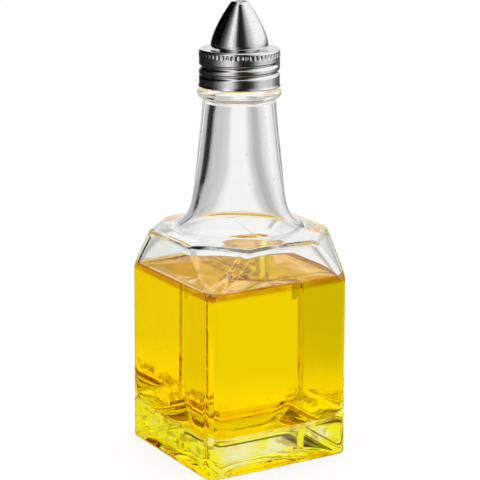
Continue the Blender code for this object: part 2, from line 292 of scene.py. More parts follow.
def body_reach(turn, height, form):
    """How far the body's wall is from the axis at each turn round it."""
    far, near = (np.full_like(turn, reach) for reach in FIRST_REACHES)
    far_gap = body_gap(far * np.cos(turn), far * np.sin(turn), height, form)
    for _ in range(REACH_STEPS):
        gap = body_gap(near * np.cos(turn), near * np.sin(turn), height, form)
        slope = np.maximum((far_gap - gap) / np.maximum(far - near, 1e-12), LEAST_SLOPE)
        far, far_gap = near, gap
        near = near - gap / slope
    return np.maximum(near, 0.0)


def square_reach(turn, half, corner):
    """The radius of a square with rounded corners."""
    x = np.abs(np.cos(turn))
    y = np.abs(np.sin(turn))
    core = half - corner
    flat = half / np.maximum(x, y)
    lean = x + y
    bend = core * lean + np.sqrt(np.maximum((core * lean) ** 2 - 2 * core**2 + corner**2, 0.0))
    on_flat = flat * np.minimum(x, y) <= core
    return np.where(on_flat, flat, bend)


def neck_radius(height):
    """The tapered neck with its flare, which stops where the roof takes over, and how much it leans in."""
    height = min(max(height, NECK_FOOT), NECK_TOP)
    flare = FLARE_OUT * math.exp((NECK_FOOT - height) / FLARE_REACH)
    radius = NECK_FOOT_RADIUS - NECK_TAPER * (height - NECK_FOOT) + flare
    return radius, NECK_TAPER + flare / FLARE_REACH


def bore_radius(height):
    """The inside of the neck, square to its outside. The wall thins to that of the roof at its foot."""
    rise = limited((height - NECK_FOOT) / ROOT_BLEND)
    wall = ROOT_WALL + (NECK_WALL - ROOT_WALL) * eased(rise)
    outer = height
    for _ in range(BORE_STEPS):
        radius, lean = neck_radius(outer)
        outer = height + wall * lean / math.hypot(1.0, lean)
    return radius - wall / math.hypot(1.0, lean)


def ripple(x, y, z):
    """The slow waves that a mould leaves in glass, between -1 and 1."""
    waves = [
        np.sin(fast_x * x + fast_y * y + fast_z * z + start)
        for fast_x, fast_y, fast_z, start in RIPPLES
    ]
    return sum(waves) / len(RIPPLES)


def run_out(along, length, fade):
    """0 at both ends of a thread, rising smoothly to 1 within the fade."""
    return eased(np.clip(np.minimum(along, length - along) / fade, 0.0, 1.0))


def coil_share(turn, height, start, foot, top, width, fade):
    """How much of a coil's full depth is reached at each turn, at one height."""
    length = math.tau * (top - foot) / PITCH
    deepest = np.zeros_like(turn)
    along = (turn - start) % math.tau
    while along.min() < length:
        off = np.abs(height - foot - PITCH * along / math.tau)
        section = np.cos(np.pi * np.clip(off / width, 0.0, 0.5)) ** 2
        inside = (along < length) & (off < width / 2)
        deepest = np.maximum(deepest, np.where(inside, section * run_out(along, length, fade), 0.0))
        along = along + math.tau
    return deepest


def crowded(turn, amount):
    """Moves the columns round the axis towards the four corners."""
    return turn + amount / 4 * np.sin(4 * turn)


def ring_stack(name, rings, columns):
    """A closed skin. A grid is rolled up round the axis, and each of its rows takes its own shape."""
    bm = bmesh.new()
    bmesh.ops.create_grid(bm, x_segments=columns, y_segments=len(rings) - 1, size=0.5)
    mesh = bpy.data.meshes.new(name)
    bm.to_mesh(mesh)
    bm.free()
    places = np.empty(3 * len(mesh.vertices))
    mesh.vertices.foreach_get("co", places)
    places = places.reshape(-1, 3)
    turns = math.tau * (places[:, 0] + 0.5)
    rows = np.rint((places[:, 1] + 0.5) * (len(rings) - 1)).astype(int)
    for row, ring in enumerate(rings):
        members = rows == row
        places[members] = np.stack(ring(turns[members]), axis=1)
    mesh.vertices.foreach_set("co", places.ravel())
    return finished(name, mesh)


def finished(name, mesh):
    """A smooth object at the origin, with its poles closed and its faces turned outwards."""
    bm = bmesh.new()
    bm.from_mesh(mesh)
    bmesh.ops.remove_doubles(bm, verts=bm.verts, dist=ONE_POINT)
    bmesh.ops.recalc_face_normals(bm, faces=bm.faces)
    bm.to_mesh(mesh)
    bm.free()
    mesh.shade_smooth()
    made = bpy.data.objects.new(name, mesh)
    bpy.context.scene.collection.objects.link(made)
    return made


def round_ring(radius, height):
    """A plain circle."""

    def ring(turn):
        return radius * np.cos(turn), radius * np.sin(turn), np.full_like(turn, height)

    return ring


def round_rings(outline):
    """A circle for each (radius, height) of an outline."""
    return [round_ring(*place) for place in outline]


def square_ring(half, corner, height, share=1.0):
    """A square with rounded corners, or a share of it on the way to the middle."""

    def ring(turn):
        turn = crowded(turn, CROWDING)
        reach = share * square_reach(turn, half, corner)
        return reach * np.cos(turn), reach * np.sin(turn), np.full_like(turn, height)

    return ring


def body_ring(form, height, grow=0.0, crowding=CROWDING, share=1.0, rise=0.0):
    """The body's own outline at one height, joined to the neck above the ridge."""
    neck = neck_radius(height)[0] if form is outside else bore_radius(height)

    def ring(turn):
        turn = crowded(turn, crowding)
        reach = body_reach(turn, height, form)
        if height > form.ridge - JOIN_BELOW_RIDGE:
            reach = joined(reach, neck, form.fillet)
        reach = reach + grow
        x = reach * np.cos(turn)
        y = reach * np.sin(turn)
        stretch = share * (1 + form.wave * ripple(x, y, height) / reach)
        return x * stretch, y * stretch, np.full_like(turn, height + rise)

    return ring


def levels(low, high, count):
    """Even levels from the first height on, without the last."""
    return np.linspace(low, high, count, endpoint=False).tolist()


def banded(bands, end):
    """Levels through bands, up or down to the end."""
    stops = [start for start, _ in bands[1:]] + [end]
    return [height for (start, count), stop in zip(bands, stops) for height in levels(start, stop, count)]


def arc(middle, out, up, start, end, steps):
    """Points on an ellipse round a (radius, height) middle, between two angles in degrees."""
    angles = [math.radians(start + (end - start) * step / steps) for step in range(steps + 1)]
    return [(middle[0] + out * math.cos(angle), middle[1] + up * math.sin(angle)) for angle in angles]


def base_rings():
    """From the middle of the push-up out over its soft edge, the rest rim and the heel."""
    rings = [round_ring(0.0, PUSH_UP)]
    for step in range(1, PUSH_UP_STEPS + 1):
        share = step / PUSH_UP_STEPS
        rise = PUSH_UP * (1 - share**PUSH_UP_POWER)
        rings.append(square_ring(PUSH_UP_HALF, PUSH_UP_CORNER, rise, share))
    rings.append(square_ring(HALF_WIDTH - REST_RIM_INSET, outside.corner - REST_CORNER_INSET, 0.0))
    for inward, up in arc((0.0, HEEL), HEEL, HEEL, -90, 0, HEEL_STEPS):
        rings.append(square_ring(HALF_WIDTH - HEEL + inward, outside.corner - HEEL + inward, up))
    return rings


def outer_body_rings():
    """Up the flat sides, over the facets, the ridge and the roof, to where the neck is round."""
    return [body_ring(outside, height) for height in banded(OUTER_BANDS, ROUND_FROM)]


def neck_rings():
    """The tapered neck, whose columns spread out evenly on the way up."""
    rings = []
    for height in levels(ROUND_FROM, NECK_TOP, NECK_LEVELS):
        spread = CROWDING * (NECK_TOP - height) / (NECK_TOP - ROUND_FROM)
        rings.append(body_ring(outside, height, crowding=spread))
    return rings


def mouth_rings():
    """The collar, recess, bead and mouth with its raised thread, and over the lip."""
    outline = [(NECK_TOP_RADIUS, NECK_TOP), (NECK_TOP_RADIUS + COLLAR_SWELL, NECK_TOP + COLLAR_EDGE)]
    outline += [(NECK_TOP_RADIUS, NECK_TOP + 2 * COLLAR_EDGE), (NECK_TOP_RADIUS, COLLAR_TOP - COLLAR_EDGE)]
    outline += arc((NECK_TOP_RADIUS - RECESS, COLLAR_TOP), RECESS, RECESS, 0, 90, 3)
    outline += [(NECK_TOP_RADIUS - RECESS, BEAD_FOOT - RECESS_TOP_GAP)]
    bead_middle = (MOUTH_RADIUS, (BEAD_FOOT + BEAD_TOP) / 2)
    outline += arc(bead_middle, BEAD_OUT, (BEAD_TOP - BEAD_FOOT) / 2, *BEAD_ARC)
    rings = round_rings(outline)
    for height in levels(BEAD_TOP + MOUTH_FOOT_GAP, LIP - LIP_ROUND, MOUTH_LEVELS):
        rings.append(thread_ring(height))
    for radius, start, end in ((MOUTH_RADIUS - LIP_ROUND, 0, 90), (BORE_RADIUS + LIP_ROUND, 90, 180)):
        rings += round_rings(arc((radius, LIP - LIP_ROUND), LIP_ROUND, LIP_ROUND, start, end, 4))
    return rings


def thread_ring(height):
    """The mouth at one height, swollen where the thread passes."""

    def ring(turn):
        swell = coil_share(
            turn, height, THREAD_START, THREAD_FOOT, THREAD_TOP, THREAD_SPREAD, THREAD_RUN_OUT
        )
        reach = MOUTH_RADIUS + THREAD_DEPTH * swell
        return reach * np.cos(turn), reach * np.sin(turn), np.full_like(turn, height)

    return ring


def bore_rings():
    """Down inside the mouth and neck."""
    mouth_heights = levels(LIP - BORE_TOP_GAP, BEAD_FOOT, MOUTH_BORE_LEVELS)
    rings = [round_ring(BORE_RADIUS, height) for height in mouth_heights]
    neck_bore = NECK_TOP_RADIUS - NECK_WALL
    for step in range(BORE_BEND_STEPS + 1):
        share = step / BORE_BEND_STEPS
        radius = BORE_RADIUS + (neck_bore - BORE_RADIUS) * eased(share)
        rings.append(round_ring(radius, BEAD_FOOT - (BEAD_FOOT - NECK_TOP) * share))
    heights = levels(NECK_TOP, ROUND_FROM, NECK_BORE_LEVELS)[1:]
    for height in heights:
        spread = CROWDING * (NECK_TOP - height) / (NECK_TOP - heights[-1])
        rings.append(body_ring(cavity, height, crowding=spread))
    return rings


def floor_heights():
    """The levels of the floor's soft edge, down to a hair above it."""
    bends = [math.radians(90 * step / FLOOR_EDGE_STEPS) for step in range(FLOOR_EDGE_STEPS + 1)]
    return [cavity.floor + cavity.floor_edge * (1 - math.sin(bend)) + HAIR for bend in bends]


def cavity_rings(grow=0.0, top=1.0):
    """Down the walls of the cavity, round its soft floor edge and in to the middle."""
    heights = [height for height in banded(CAVITY_BANDS, cavity.floor + cavity.floor_edge) if height < top]
    rings = [body_ring(cavity, height, grow=grow) for height in heights + floor_heights()]
    floor = cavity.floor + HAIR
    for share in FLOOR_SHARES:
        dome = FLOOR_DOME * (1 - share**2)
        rings.append(body_ring(cavity, floor, grow=grow, share=share, rise=dome - grow))
    rings.append(round_ring(0.0, floor + FLOOR_DOME - grow))
    return rings


def make_glass_bottle():
    """One skin, from under the base up the outside, over the lip and down inside."""
    rings = base_rings() + outer_body_rings() + neck_rings() + mouth_rings()
    rings += bore_rings() + cavity_rings()
    return ring_stack("moulded_glass_bottle", rings, GLASS_COLUMNS)


def make_oil():
    """The oil overlaps the glass by a hair, so that light passes straight from one into the other."""
    contact = OIL_LEVEL + MENISCUS_RISE
    rings = [round_ring(0.0, OIL_LEVEL)]
    for share in OIL_TOP_SHARES:
        rings.append(body_ring(cavity, OIL_LEVEL, share=share))
    for step in range(MENISCUS_STEPS, 0, -1):
        inward = MENISCUS_REACH * MENISCUS_STEP * step
        rise = MENISCUS_RISE * math.exp(-inward / MENISCUS_REACH)
        rings.append(body_ring(cavity, OIL_LEVEL + rise, grow=-inward))
    rings.append(body_ring(cavity, contact, grow=OIL_OVERLAP))
    rings += cavity_rings(grow=OIL_OVERLAP, top=contact)
    made = ring_stack("oil", rings, GLASS_COLUMNS)
    made.data.set_sharp_from_angle(angle=OIL_SHARP_ANGLE)
    return made


# Metal cap
CAP_WALL = 0.0005
CAP_RADIUS = 0.0147
CAP_RIM = 0.0009
CAP_OUTER_LEVELS = 66
CAP_INNER_LEVELS = 30
SKIRT_FLARE_WIDTH = 0.00025
SKIRT_FLARE_HEIGHT = 0.0011
SKIRT_FLARE_POWER = 1.5
GROOVE_START = math.radians(140.0)
GROOVE_FOOT = 0.14041
GROOVE_TOP = 0.14521
GROOVE_DEPTH = 0.00068
GROOVE_WIDTH = 0.0023
GROOVE_RUN_OUT = math.radians(40.0)
KNURLS = 52
KNURL_FOOT = 0.1476
KNURL_TOP = 0.1493
KNURL_DEPTH = 0.00022
KNURL_POWER = 1.5
KNURL_END_POWER = 4
PLATE_HOLE = 0.0075
PLATE_INNER = 0.0110
PLATE_RADII = (0.0132, 0.0125, PLATE_INNER, PLATE_HOLE)


def cap_ring(height, inset=0.0):
    """The cap's skirt at one height, with its rolled groove and, outside, its knurls."""

    def ring(turn):
        groove = coil_share(
            turn, height, GROOVE_START, GROOVE_FOOT, GROOVE_TOP, GROOVE_WIDTH, GROOVE_RUN_OUT
        )
        flare = max(1 - (height - cap_low.z) / SKIRT_FLARE_HEIGHT, 0.0) ** SKIRT_FLARE_POWER
        reach = CAP_RADIUS + SKIRT_FLARE_WIDTH * flare - GROOVE_DEPTH * groove - inset
        if not inset:
            middle = (KNURL_FOOT + KNURL_TOP) / 2
            off = abs(height - middle) / (KNURL_TOP - KNURL_FOOT) * 2
            window = max(1 - off**KNURL_END_POWER, 0.0)
            reach = reach - KNURL_DEPTH * window * (0.5 + 0.5 * np.cos(KNURLS * turn)) ** KNURL_POWER
        return reach * np.cos(turn), reach * np.sin(turn), np.full_like(turn, height)

    return ring


def make_cap():
    """Up the skirt, over the rim and the plate to its hole, and back down inside."""
    foot = cap_low.z
    top = cap_high.z
    shoulder = top - CAP_RIM
    rim_middle = (CAP_RADIUS - CAP_RIM, shoulder)
    inner_rim = CAP_RIM - CAP_WALL
    rings = [cap_ring(height) for height in levels(foot, shoulder, CAP_OUTER_LEVELS) + [shoulder]]
    rings += round_rings(arc(rim_middle, CAP_RIM, CAP_RIM, 0, 90, 8)[1:])
    rings += [round_ring(radius, top) for radius in PLATE_RADII]
    rings += [round_ring(radius, top - CAP_WALL) for radius in (PLATE_HOLE, PLATE_INNER)]
    rings += round_rings(arc(rim_middle, inner_rim, inner_rim, 90, 0, 3))
    rings += [cap_ring(height, CAP_WALL) for height in reversed(levels(foot, shoulder, CAP_INNER_LEVELS))]
    rings.append(rings[0])
    return ring_stack("knurled_screw_cap", rings, CAP_COLUMNS)


# Pouring cone
CONE_FOOT = cap_high.z + 0.0003
CONE_RADIUS = 0.0105
CONE_TIP_RADIUS = 0.0030
CONE_CURVE_POWER = 1.5
CONE_CURVE_STEPS = 32
CONE_ROUNDING = 0.0009
CONE_WALL = 0.0005
CONE_SHARP_ANGLE = math.radians(50.0)
CLINCH_RADIUS = 0.0072
CLINCH_LIP = 0.0015


def cone_curve(inset):
    """The cone's bulging side, from its rounded foot to its tip."""
    base = CONE_FOOT + CONE_ROUNDING
    outline = []
    for step in range(CONE_CURVE_STEPS + 1):
        share = step / CONE_CURVE_STEPS
        drop = (CONE_RADIUS - CONE_TIP_RADIUS) * share**CONE_CURVE_POWER
        outline.append((CONE_RADIUS - drop - inset, base + (cone_high.z - base) * share))
    return outline


def make_cone():
    """Up the outside, over the tip, down inside and round the foot that is clinched under the plate."""
    middle = (CONE_RADIUS - CONE_ROUNDING, CONE_FOOT + CONE_ROUNDING)
    tip = (CONE_TIP_RADIUS - CONE_WALL / 2, cone_high.z - CONE_WALL / 2)
    outline = arc(middle, CONE_ROUNDING, CONE_ROUNDING, -90, 0, 8)[:-1]
    outline += [place for place in cone_curve(0.0) if place[1] < tip[1]]
    outline += arc(tip, CONE_WALL / 2, CONE_WALL / 2, 10, 170, 6)
    outline += [place for place in reversed(cone_curve(CONE_WALL)) if place[1] < tip[1]]
    bore = CLINCH_RADIUS - CONE_WALL
    lip = CLINCH_RADIUS + CLINCH_LIP
    under = cone_low.z
    inner_foot = CONE_FOOT + CONE_WALL
    outline += [(CONE_RADIUS - CONE_ROUNDING - CONE_WALL, inner_foot), (bore, inner_foot)]
    outline += [(bore, under), (lip, under), (lip, under + CONE_WALL), (CLINCH_RADIUS, under + CONE_WALL)]
    outline += [(CLINCH_RADIUS, CONE_FOOT)]
    rings = round_rings(outline)
    rings.append(rings[0])
    made = ring_stack("spun_pouring_cone", rings, CONE_COLUMNS)
    made.data.set_sharp_from_angle(angle=CONE_SHARP_ANGLE)
    return made


def node(tree, kind, **values):
    """A shader node with some of its properties set."""
    made = tree.nodes.new(kind)
    for name, value in values.items():
        setattr(made, name, value)
    return made


def feed(tree, value, socket):
    """Links a socket to another one, or sets it to a plain number or colour."""
    if isinstance(value, bpy.types.NodeSocket):
        tree.links.new(value, socket)
    else:
        socket.default_value = value


def fill(tree, made, **values):
    """Feeds the sockets of a node, which are named with _ for a space, and gives its output."""
    for name, value in values.items():
        label = name.replace("_", " ")
        feed(tree, value, [found for found in made.inputs if found.name == label and found.enabled][0])
    return [found for found in made.outputs if found.enabled][0]


def math_node(tree, operation, first, second=None):
    """A Math node, whose inputs are sockets or plain numbers."""
    made = node(tree, "ShaderNodeMath", operation=operation)
    for socket, value in zip(made.inputs, (first, second)):
        if value is not None:
            feed(tree, value, socket)
    return made.outputs[0]


def times(tree, first, second):
    """The product of two values."""
    return math_node(tree, "MULTIPLY", first, second)


def larger(tree, first, second):
    """The larger of two values."""
    return math_node(tree, "MAXIMUM", first, second)


def mixed(tree, factor, first, second):
    """A Mix node for colours, whose inputs are sockets or plain colours."""
    return fill(tree, node(tree, "ShaderNodeMix", data_type="RGBA"), Factor=factor, A=first, B=second)


def ranged(tree, value, low, high, bottom=0.0, top=1.0):
    """A smooth step between two values, from the bottom level to the top one."""
    made = node(tree, "ShaderNodeMapRange", interpolation_type="SMOOTHSTEP")
    return fill(tree, made, Value=value, From_Min=low, From_Max=high, To_Min=bottom, To_Max=top)


def object_place(tree):
    """Object coordinates, which stay with the piece."""
    return node(tree, "ShaderNodeTexCoord").outputs["Object"]


def axes_of(tree, place):
    """X, Y and Z of a place or a direction."""
    made = node(tree, "ShaderNodeSeparateXYZ")
    tree.links.new(place, made.inputs[0])
    return made.outputs


def height_of(tree):
    """The height above the table."""
    return axes_of(tree, object_place(tree))["Z"]


def stretched(tree, scale):
    """Object coordinates, scaled along each axis."""
    mapping = node(tree, "ShaderNodeMapping", vector_type="POINT")
    return fill(tree, mapping, Vector=object_place(tree), Scale=scale)


def noise(tree, scale, detail=3.0):
    """Soft noise whose grain along each axis follows the scale."""
    made = node(tree, "ShaderNodeTexNoise")
    return fill(tree, made, Vector=stretched(tree, scale), Scale=1.0, Detail=detail)


def shader_group(name, outputs, inputs=()):
    """An empty node group with its sockets and the nodes that they end in."""
    made = bpy.data.node_groups.new(name, "ShaderNodeTree")
    for socket_name, kind in inputs:
        made.interface.new_socket(name=socket_name, in_out="INPUT", socket_type=kind)
    for socket_name, kind in outputs:
        made.interface.new_socket(name=socket_name, in_out="OUTPUT", socket_type=kind)
    return made, node(made, "NodeGroupInput"), node(made, "NodeGroupOutput")


def painted_base_light(group, axes):
    """Clear glass above. The thick base has the oil's light painted on it: a yellow glow, amber lumps and rim
    lines, and a side in painted brown shade.
    """
    across = axes["X"]
    height = axes["Z"]
    blotch = noise(group, PAINTED_LIGHT_BLOTCH_GRAIN, 2.0)
    fine_blotch = noise(group, PAINTED_LIGHT_FINE_BLOTCH_GRAIN, 2.0)
    left = ranged(group, across, *PAINTED_GLOW_LEFT)
    right = times(group, ranged(group, across, *PAINTED_GLOW_RIGHT), ranged(group, blotch, 0.42, 0.52))
    heel = ranged(group, height, *PAINTED_HEEL_GLOW_HEIGHTS)
    glow = mixed(group, larger(group, larger(group, left, right), heel), PAINTED_BASE_YELLOW, PAINTED_BASE_GLOW)
    amber = times(group, ranged(group, blotch, 0.55, 0.70), ranged(group, fine_blotch, 0.40, 0.62))
    rim = times(group, ranged(group, height, *PAINTED_RIM_HEIGHTS), ranged(group, fine_blotch, 0.35, 0.60))
    glow = mixed(group, larger(group, amber, rim), glow, PAINTED_AMBER_LIGHT)
    brown = times(group, ranged(group, across, *PAINTED_SHADE_RIGHT), ranged(group, fine_blotch, 0.50, 0.62))
    glow = mixed(group, brown, glow, PAINTED_BROWN_SHADE)
    return mixed(group, ranged(group, height, *PAINTED_BASE_HEIGHTS), CLEAR_TINT, glow)


def moulded_surface_and_painted_light():
    """What a mould and the oil leave on the glass, slow waves, seeds and smears, with the oil's light and
    shade painted into the thick base.
    """
    group, _, end = shader_group(
        "moulded glass surface and painted light",
        (("Tint", "NodeSocketColor"), ("Relief", "NodeSocketFloat"), ("Smear", "NodeSocketFloat")),
    )
    axes = axes_of(group, object_place(group))
    group.links.new(painted_base_light(group, axes), end.inputs["Tint"])
    cells = node(group, "ShaderNodeTexVoronoi", feature="F1")
    spots = fill(group, cells, Vector=stretched(group, SEED_GRAIN), Scale=1.0)
    few = ranged(group, noise(group, SEED_PATCH_GRAIN, 1.0), 0.48, 0.56)
    few = times(group, few, ranged(group, axes["Z"], *SEED_HEIGHTS, *SEED_DEPTHS))
    seeds = times(group, ranged(group, spots, 0.10, 0.04), few)
    relief = math_node(group, "ADD", noise(group, WAVE_GRAIN, 2.0), seeds)
    group.links.new(relief, end.inputs["Relief"])
    smear = ranged(group, noise(group, SMEAR_GRAIN, 4.0), 0.55, 0.80, *SMEAR_ROUGHNESS)
    group.links.new(smear, end.inputs["Smear"])
    return group


def turned_marks():
    """Fine marks of the tools on metal: streaks along the stretched way, sparse scratches and grain."""
    group, start, end = shader_group(
        "tool marks",
        (("Tone", "NodeSocketFloat"), ("Relief", "NodeSocketFloat")),
        (("Stretch", "NodeSocketVector"),),
    )
    along = node(group, "ShaderNodeVectorMath", operation="MULTIPLY")
    group.links.new(object_place(group), along.inputs[0])
    group.links.new(start.outputs["Stretch"], along.inputs[1])
    way = along.outputs[0]
    streaks = fill(group, node(group, "ShaderNodeTexNoise"), Vector=way, Scale=1.0, Detail=5.0)
    scratches = fill(group, node(group, "ShaderNodeTexNoise"), Vector=way, Scale=0.45, Detail=1.0)
    scratches = ranged(group, scratches, 0.63, 0.67)
    grain = noise(group, STEEL_GRAIN, 2.0)
    tone = math_node(group, "ADD", times(group, streaks, 0.75), times(group, grain, 0.25))
    tone = math_node(group, "SUBTRACT", tone, times(group, scratches, 0.25))
    group.links.new(tone, end.inputs["Tone"])
    group.links.new(tone, end.inputs["Relief"])
    return group


def shader_material(name):
    """A new material, its node tree and its main shader."""
    made = bpy.data.materials.new(name)
    made.use_nodes = True
    return made, made.node_tree, made.node_tree.nodes["Principled BSDF"]


def bumped(tree, shader, relief, distance):
    """Gives a shader's surface a fine relief."""
    made = fill(tree, node(tree, "ShaderNodeBump"), Height=relief, Distance=distance, Strength=1.0)
    tree.links.new(made, shader.inputs["Normal"])


def glass_finish(name, surface, index, mirror_level):
    """Glass with the mould's marks and painted light in its base, which bends light by an index and mirrors
    it by a level.
    """
    made, tree, shader = shader_material(name)
    skin = node(tree, "ShaderNodeGroup", node_tree=surface)
    fill(
        tree, shader, IOR=index, Transmission_Weight=1.0, Roughness=skin.outputs["Smear"],
        Base_Color=skin.outputs["Tint"], Specular_Tint=(mirror_level, mirror_level, mirror_level, 1.0),
    )
    bumped(tree, shader, skin.outputs["Relief"], GLASS_RELIEF)
    return made, tree, shader


def clear_glass_finish(surface):
    """Dry glass, for all the faces that wet_inside leaves alone."""
    return glass_finish("clear flint glass", surface, GLASS_INDEX, 0.5)[0]


def wetted_glass_finish(surface):
    """Under oil, glass bends light only by the ratio of the two, and painted shade darkens the oil's edge."""
    made, tree, shader = glass_finish("clear flint glass under oil", surface, GLASS_INDEX / OIL_INDEX, 1.0)
    near_top = ranged(tree, height_of(tree), OIL_LEVEL - PAINTED_EDGE_SHADE_FOOT, OIL_LEVEL - PAINTED_EDGE_SHADE_FULL)
    # Painted shade: a dark orange-brown line along the oil's edge
    painted_edge_shade = times(tree, near_top, ranged(tree, noise(tree, PAINTED_EDGE_SHADE_GRAIN), 0.25, 0.6, 0.55, 1.0))
    base_colour_and_painted_light = shader.inputs["Base Color"].links[0].from_socket
    tree.links.new(mixed(tree, painted_edge_shade, base_colour_and_painted_light, PAINTED_EDGE_SHADE), shader.inputs["Base Color"])
    return made


def oil_finish():
    """Yellow by what it absorbs. Only its open top bends light as oil in air does, and there it is mottled
    with painted olive and pale light.
    """
    made, tree, shader = shader_material("yellow salad oil")
    facing = axes_of(tree, node(tree, "ShaderNodeNewGeometry").outputs["True Normal"])["Z"]
    level = math_node(tree, "GREATER_THAN", math_node(tree, "ABSOLUTE", facing), OPEN_TOP_LEVELNESS)
    high = math_node(tree, "GREATER_THAN", height_of(tree), OIL_LEVEL - OPEN_TOP_BELOW)
    top = times(tree, level, high)
    index = math_node(tree, "ADD", times(tree, top, OIL_INDEX - 1.0), 1.0)
    thin = mixed(tree, noise(tree, SWIRL_GRAIN, 2.0), *THIN_OIL_TINTS)
    # Painted light on the open top: olive and pale patches
    painted_top_light = mixed(tree, ranged(tree, noise(tree, PAINTED_TOP_LIGHT_GRAIN, 2.0), 0.44, 0.56), *PAINTED_OPEN_TOP_LIGHT)
    colour = mixed(tree, top, thin, painted_top_light)
    fill(tree, shader, Base_Color=colour, Roughness=0.0, IOR=index, Transmission_Weight=1.0)
    bumped(tree, shader, noise(tree, OIL_RIPPLE_GRAIN, 2.0), OIL_RELIEF)
    absorption = node(tree, "ShaderNodeVolumeAbsorption")
    absorbed = fill(tree, absorption, Color=OIL_ABSORBS, Density=OIL_DENSITY)
    tree.links.new(absorbed, tree.nodes["Material Output"].inputs["Volume"])
    return made


def steel_finish(name, marks, stretch, roughness, depth):
    """Polished steel with fine tool marks, which also dull it a little where they lie close."""
    made, tree, shader = shader_material(name)
    skin = node(tree, "ShaderNodeGroup", node_tree=marks)
    skin.inputs["Stretch"].default_value = stretch
    tone = skin.outputs["Tone"]
    fill(
        tree, shader, Metallic=1.0,
        Base_Color=mixed(tree, ranged(tree, tone, 0.30, 0.62), *STEEL_TONES),
        Roughness=ranged(tree, tone, 0.25, 0.70, roughness + DULLED_BY_MARKS, roughness),
    )
    bumped(tree, shader, skin.outputs["Relief"], depth)
    return made


def liner_finish():
    """Soft white liner sheet: a mottled tone, a dull surface and a fine grain."""
    made, tree, shader = shader_material("liner sheet")
    mottle = noise(tree, MOTTLE_GRAIN, 4.0)
    fill(
        tree, shader, Base_Color=mixed(tree, mottle, *LINER_TONES),
        Roughness=ranged(tree, mottle, 0.3, 0.7, 0.48, 0.68),
    )
    bumped(tree, shader, noise(tree, LINER_GRAIN, 3.0), LINER_RELIEF)
    return made


def dress(piece, finish):
    """Gives a piece one finish in place of what it had."""
    piece.data.materials.clear()
    piece.data.materials.append(finish)


# The photograph's view, in metres and radians. Its focal length is in pixels, and the sensor in millimetres
CAMERA_TURN = math.radians(31.27)
CAMERA_DISTANCE = 0.66720
CAMERA_HEIGHT = 0.248316
CAMERA_DOWN = 0.248373
CAMERA_ASIDE = 0.000696
CAMERA_ROLL = 0.004163
FOCAL_PIXELS = 1869.68
PICTURE_PIXELS = 480
SENSOR_WIDTH = 36.0


def photo_camera():
    """The photograph's view, worked out from the base, the upright corners and the cap."""
    data = bpy.data.cameras.new("photo_camera")
    data.sensor_width = SENSOR_WIDTH
    data.lens = FOCAL_PIXELS / PICTURE_PIXELS * data.sensor_width
    data.clip_end = 10.0
    camera = bpy.data.objects.new("photo_camera", data)
    bpy.context.scene.collection.objects.link(camera)
    aside = Matrix.Rotation(-CAMERA_TURN - CAMERA_ASIDE, 4, "Z")
    down = Matrix.Rotation(math.radians(90) - CAMERA_DOWN, 4, "X")
    roll = Matrix.Rotation(CAMERA_ROLL, 4, "Z")
    back_x = -CAMERA_DISTANCE * math.sin(CAMERA_TURN)
    back_y = -CAMERA_DISTANCE * math.cos(CAMERA_TURN)
    place = Matrix.Translation(Vector((back_x, back_y, CAMERA_HEIGHT)))
    camera.matrix_world = place @ (aside @ down @ roll)
    bpy.context.scene.camera = camera


# How bright the studio is round the cruet: degrees right of the way that the camera looks, and a level
LOW_MIRRORED_STRIPES = (
    (-180, 0.05), (-170, 0.30), (-160, 0.70), (-147, 0.78), (-134, 0.52), (-122, 0.25), (-110, 0.10),
    (-96, 0.02), (-40, 0.01), (-22, 0.10), (-14, 0.80), (14, 0.80), (24, 0.12), (50, 0.14), (64, 0.32),
    (80, 0.60), (108, 0.68), (120, 0.58), (131, 0.34), (142, 0.08), (152, 0.02), (170, 0.01), (180, 0.05),
)
HIGH_MIRRORED_STRIPES = (
    (-180, 0.01), (-171, 0.05), (-160, 0.55), (-150, 0.90), (-141, 0.98), (-131, 0.50), (-122, 0.25),
    (-111, 0.07), (-98, 0.02), (-90, 0.00), (-34, 0.00), (-22, 0.15), (-14, 0.80), (14, 0.80), (22, 0.60),
    (35, 0.75), (47, 0.96), (62, 1.0), (80, 1.0), (100, 1.0), (113, 0.88), (127, 0.60), (140, 0.40),
    (150, 0.15), (160, 0.02), (180, 0.01),
)
SEEN_THROUGH_STRIPES = (
    (-180, 0.92), (-100, 0.92), (-84, 0.70), (-74, 0.02), (-43, 0.01), (-36, 0.12), (-31, 0.45), (-20, 0.56),
    (-12, 0.58), (-6, 0.66), (-3, 0.98), (3, 1.0), (6, 0.66), (9, 0.46), (12, 0.50), (18, 0.74), (26, 0.88),
    (60, 0.95), (180, 0.92),
)
UNDER_LAMP_STRIPES = (
    (-180, 0.92), (-92, 0.92), (-78, 0.10), (-30, 0.20), (20, 0.20), (32, 0.92), (180, 0.92),
)

# Elevations in degrees between which one part of the studio gives way to the next
LOW_TO_HIGH = (-4.0, 12.0)
WALLS_TO_CEILING = (62.0, 80.0)
FLAGS_TO_WALLS = (6.0, 16.0)
UNDER_LAMP_STARTS = (10.0, 13.0)
UNDER_LAMP_ENDS = (15.8, 17.2)

# The studio's colours
WHITE = (1.0, 1.0, 1.0, 1.0)
CEILING = (0.75, 0.75, 0.76, 1.0)
PALE_WALLS = (0.92, 0.92, 0.93, 1.0)


def ramp(tree, share, stops):
    """A smooth ramp over shares from 0 to 1, whose stops give a grey level or a colour."""
    made = node(tree, "ShaderNodeValToRGB")
    made.color_ramp.interpolation = "EASE"
    elements = made.color_ramp.elements
    while len(elements) < len(stops):
        elements.new(1.0)
    for element, (place, level) in zip(elements, stops):
        element.position = place
        element.color = level if isinstance(level, tuple) else (level, level, level, 1.0)
    tree.links.new(share, made.inputs["Fac"])
    return made.outputs["Color"]


def stripe_ramp(tree, share, stripes):
    """The levels of the studio's walls, lamps and dark flags, all the way round."""
    return ramp(tree, share, [(degrees / 360 + 0.5, level) for degrees, level in stripes])


